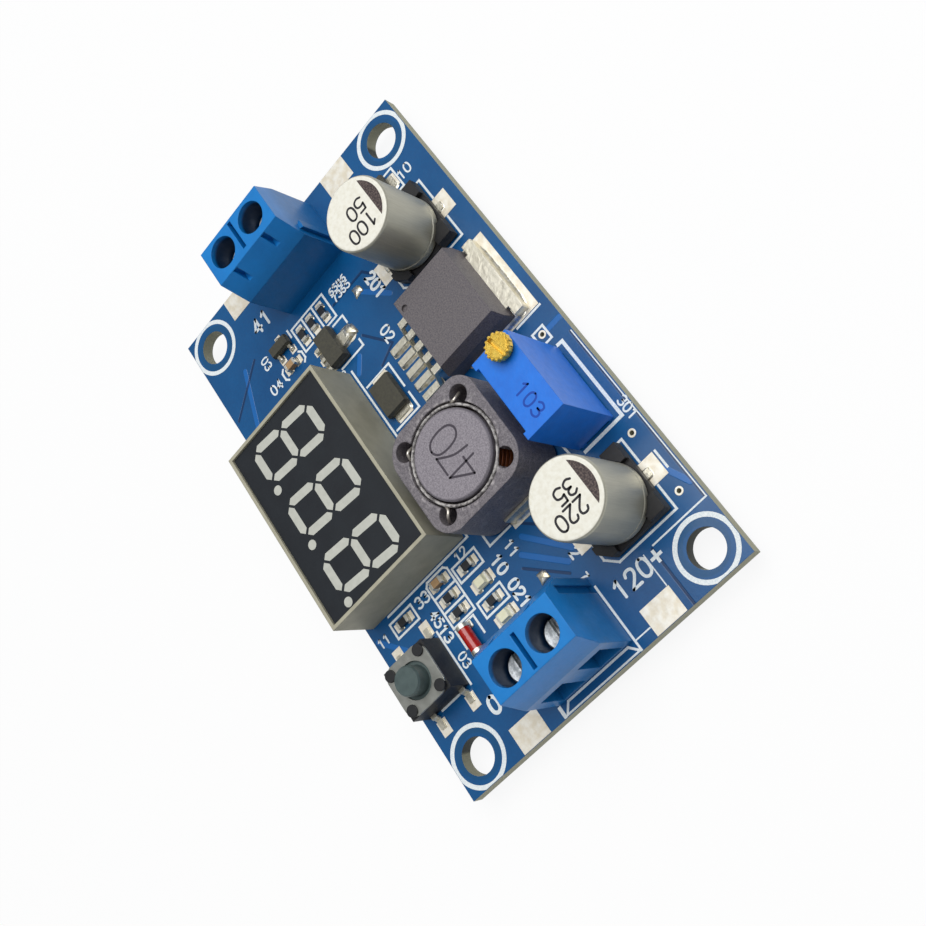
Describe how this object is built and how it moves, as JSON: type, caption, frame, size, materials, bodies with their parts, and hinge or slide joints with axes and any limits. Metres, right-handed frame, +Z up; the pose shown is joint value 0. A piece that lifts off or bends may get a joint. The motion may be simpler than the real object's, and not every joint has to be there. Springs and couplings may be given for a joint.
{
  "type": "buck converter module",
  "caption": "Populated circuit board that steps a voltage down, with screw terminals at both ends, capacitors, regulator, shielded inductor, multi-turn trimmer, numeric display and push button",
  "frame": {"origin": "under the middle of the board, level with the tips of the pins", "axes": "+X towards the output terminal, +Y towards the capacitors, +Z up out of the component side"},
  "size_m": [0.066, 0.039, 0.0147],
  "materials": {
    "board_laminate": "blue lacquer over glass-fibre laminate",
    "white_ink": "printed white",
    "tinned_copper": "tinned copper",
    "solder": "bright solder",
    "tinned_metal": "bright tin plate",
    "terminal_plastic": "moulded azure plastic",
    "screw_steel": "zinc-plated steel",
    "clamp_metal": "nickel-plated brass",
    "can_aluminium": "satin",
    "black_plastic": "moulded",
    "dark_ink": "printed",
    "grey_epoxy": "moulded epoxy",
    "black_epoxy": "moulded epoxy",
    "trimmer_plastic": "moulded vivid blue plastic",
    "trimmer_base_plastic": "moulded",
    "white_ceramic": "ceramic",
    "cream_plastic": "moulded",
    "brass": "bright",
    "ferrite": "bare pressed ferrite",
    "enamelled_copper": "enamelled wire",
    "display_plastic": "moulded light grey-olive",
    "display_black": "black film",
    "segment_plastic": "milky",
    "cover_steel": "bare sheet steel",
    "button_plastic": "moulded",
    "red_glass": "red glass",
    "light_plastic": "milky epoxy",
    "tan_ceramic": "ceramic"
  },
  "bodies": {
    "board_assembly": {"circuit_board": "board_laminate", "printed_marks": "white_ink", "solder_lands": "tinned_copper", "solder_joints": "solder", "input_terminal_housing": "terminal_plastic", "input_terminal_contacts": "tinned_metal", "output_terminal_housing": "terminal_plastic", "output_terminal_contacts": "tinned_metal", "input_capacitor_can": "can_aluminium", "input_capacitor_base": "black_plastic", "input_capacitor_leads": "tinned_metal", "output_capacitor_can": "can_aluminium", "output_capacitor_base": "black_plastic", "output_capacitor_leads": "tinned_metal", "capacitor_marks": "dark_ink", "regulator_body": "grey_epoxy", "regulator_tab": "tinned_metal", "regulator_leads": "tinned_metal", "trimmer_housing": "trimmer_plastic", "trimmer_base": "trimmer_base_plastic", "trimmer_element": "white_ceramic", "trimmer_pins": "tinned_metal", "inductor_shield": "ferrite", "inductor_drum": "ferrite", "inductor_winding": "enamelled_copper", "inductor_terminals": "tinned_metal", "display_shell": "display_plastic", "display_face": "display_black", "display_segments": "segment_plastic", "display_pins": "tinned_metal", "switch_base": "black_plastic", "switch_cover": "cover_steel", "switch_dome": "cover_steel", "switch_legs": "tinned_metal", "diode_bodies": "black_epoxy", "diode_leads": "tinned_metal", "supply_regulator_body": "grey_epoxy", "supply_regulator_leads": "tinned_metal", "transistor_body": "black_epoxy", "transistor_leads": "tinned_metal", "glass_diode_body": "red_glass", "glass_diode_caps": "tinned_metal", "indicator_lights": "light_plastic", "chip_resistors": "black_epoxy", "chip_capacitors": "tan_ceramic", "chip_ends": "tinned_metal", "display_driver_body": "black_epoxy", "display_driver_leads": "tinned_metal"},
    "input_screw_1": {"input_screw_1": "screw_steel"},
    "input_screw_2": {"input_screw_2": "screw_steel"},
    "input_clamp_1": {"input_clamp_1": "clamp_metal"},
    "input_clamp_2": {"input_clamp_2": "clamp_metal"},
    "output_screw_1": {"output_screw_1": "screw_steel"},
    "output_screw_2": {"output_screw_2": "screw_steel"},
    "output_clamp_1": {"output_clamp_1": "clamp_metal"},
    "output_clamp_2": {"output_clamp_2": "clamp_metal"},
    "trimmer_wheel": {"trimmer_wheel": "cream_plastic"},
    "trimmer_screw": {"trimmer_screw": "brass"},
    "switch_button": {"switch_button": "button_plastic"}
  },
  "joints": [
    {"name": "input_screw_1_turn", "type": "hinge", "parent": "board_assembly", "child": "input_screw_1", "pos_m": [-0.02865, 0.00234, 0.0104], "axis": [0, 0, -1], "range_deg": [0, 1361]},
    {"name": "input_clamp_1_rise", "type": "slide", "parent": "board_assembly", "child": "input_clamp_1", "axis": [0, 0, 1], "range_m": [0, 0.0017]},
    {"name": "input_screw_2_turn", "type": "hinge", "parent": "board_assembly", "child": "input_screw_2", "pos_m": [-0.02865, -0.00274, 0.0104], "axis": [0, 0, -1], "range_deg": [0, 1361]},
    {"name": "input_clamp_2_rise", "type": "slide", "parent": "board_assembly", "child": "input_clamp_2", "axis": [0, 0, 1], "range_m": [0, 0.0017]},
    {"name": "output_screw_1_turn", "type": "hinge", "parent": "board_assembly", "child": "output_screw_1", "pos_m": [0.02831, -0.00274, 0.0104], "axis": [0, 0, -1], "range_deg": [0, 1361]},
    {"name": "output_clamp_1_rise", "type": "slide", "parent": "board_assembly", "child": "output_clamp_1", "axis": [0, 0, 1], "range_m": [0, 0.0017]},
    {"name": "output_screw_2_turn", "type": "hinge", "parent": "board_assembly", "child": "output_screw_2", "pos_m": [0.02831, 0.00234, 0.0104], "axis": [0, 0, -1], "range_deg": [0, 1361]},
    {"name": "output_clamp_2_rise", "type": "slide", "parent": "board_assembly", "child": "output_clamp_2", "axis": [0, 0, 1], "range_m": [0, 0.0017]},
    {"name": "trimmer_screw_turn", "type": "hinge", "parent": "board_assembly", "child": "trimmer_screw", "pos_m": [0.00552, 0.01588, 0.0134], "axis": [0, 0, -1], "range_deg": [-4500, 4500]},
    {"name": "trimmer_wheel_turn", "type": "hinge", "parent": "board_assembly", "child": "trimmer_wheel", "pos_m": [0.00952, 0.01588, 0.00815], "axis": [0, 1, 0], "range_deg": [-150.1, 150.1]},
    {"name": "button_press", "type": "slide", "parent": "board_assembly", "child": "switch_button", "axis": [0, 0, -1], "range_m": [0, 0.00025], "stiffness_N_per_m": 4000, "deforming": ["switch_dome"]}
  ],
  "couplings": [
    {"joint": "input_screw_1_turn", "follows": "input_clamp_1_rise", "rad_per_m": 13963},
    {"joint": "input_screw_2_turn", "follows": "input_clamp_2_rise", "rad_per_m": 13963},
    {"joint": "output_screw_1_turn", "follows": "output_clamp_1_rise", "rad_per_m": 13963},
    {"joint": "output_screw_2_turn", "follows": "output_clamp_2_rise", "rad_per_m": 13963},
    {"joint": "trimmer_wheel_turn", "follows": "trimmer_screw_turn", "ratio": 0.033333}
  ]
}
